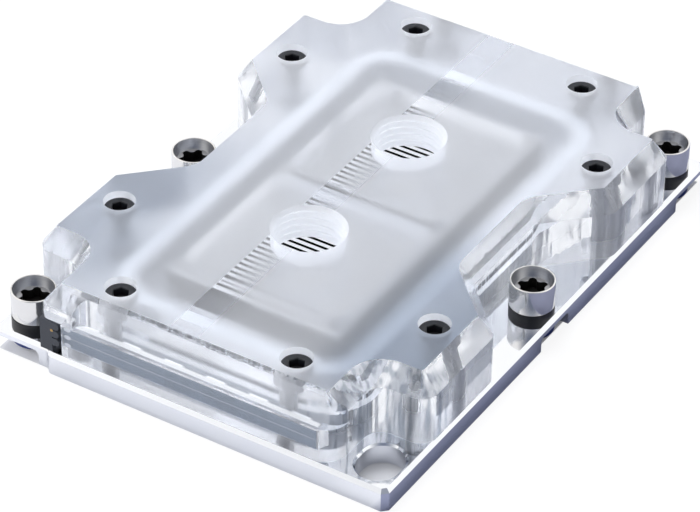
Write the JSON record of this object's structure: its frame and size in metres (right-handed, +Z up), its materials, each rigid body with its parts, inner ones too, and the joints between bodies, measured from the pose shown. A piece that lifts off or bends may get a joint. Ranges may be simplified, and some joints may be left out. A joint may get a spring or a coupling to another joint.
{
  "type": "liquid cooling cold plate",
  "caption": "Flat rectangular cold plate: plated base with fins, lobed clear top with threaded ports, socket head screws, captive nuts at the edges and a lit strip on one end.",
  "frame": {"origin": "centre of the outline on the contact face, the underside of the base", "axes": "+X across the plate to the right when the lit strip is at the front, +Y along the plate away from the strip, +Z up out of the ports"},
  "size_m": [0.078, 0.108, 0.0172],
  "materials": {
    "nickel_plate": "polished nickel plate",
    "nickel_fins": "plated fins, satin",
    "clear_acrylic": "clear acrylic, top face satin, bevels polished",
    "gasket": "translucent silicone rubber",
    "black_steel": "black oxide steel, slightly glossy",
    "nut_steel": "bright plated steel",
    "black_washer": "black rubber, satin",
    "blue_ring": "dark blue plastic",
    "board": "blue-grey solder mask",
    "led_lens": "pale yellow resin lens",
    "header_plastic": "black moulded plastic",
    "contact_metal": "brass contact"
  },
  "bodies": {
    "block": {"base_plate": "nickel_plate", "fin_field": "nickel_fins", "acrylic_top": "clear_acrylic", "main_gasket": "gasket", "cover_screw_1": "black_steel", "cover_screw_2": "black_steel", "cover_screw_3": "black_steel", "cover_screw_4": "black_steel", "cover_screw_5": "black_steel", "cover_screw_6": "black_steel", "cover_screw_7": "black_steel", "cover_screw_8": "black_steel", "nut_washer_1": "black_washer", "nut_washer_2": "black_washer", "nut_washer_3": "black_washer", "nut_washer_4": "black_washer", "led_board": "board", "led_1": "led_lens", "led_2": "led_lens", "led_3": "led_lens", "led_4": "led_lens", "led_5": "led_lens", "led_6": "led_lens", "led_header": "header_plastic", "header_leg_1": "contact_metal", "header_leg_2": "contact_metal", "header_leg_3": "contact_metal"},
    "nut_1": {"captive_nut_1": "nut_steel", "retaining_ring_1": "blue_ring"},
    "nut_2": {"captive_nut_2": "nut_steel", "retaining_ring_2": "blue_ring"},
    "nut_3": {"captive_nut_3": "nut_steel", "retaining_ring_3": "blue_ring"},
    "nut_4": {"captive_nut_4": "nut_steel", "retaining_ring_4": "blue_ring"}
  },
  "joints": [
    {"name": "nut_1_turn", "type": "hinge", "parent": "block", "child": "nut_1", "pos_m": [-0.0343, -0.0475, 0.0042], "axis": [0, 0, 1], "continuous": true},
    {"name": "nut_2_turn", "type": "hinge", "parent": "block", "child": "nut_2", "pos_m": [0.0343, 0.0475, 0.0042], "axis": [0, 0, 1], "continuous": true},
    {"name": "nut_3_turn", "type": "hinge", "parent": "block", "child": "nut_3", "pos_m": [-0.0343, 0, 0.0042], "axis": [0, 0, 1], "continuous": true},
    {"name": "nut_4_turn", "type": "hinge", "parent": "block", "child": "nut_4", "pos_m": [0.0343, 0, 0.0042], "axis": [0, 0, 1], "continuous": true}
  ]
}
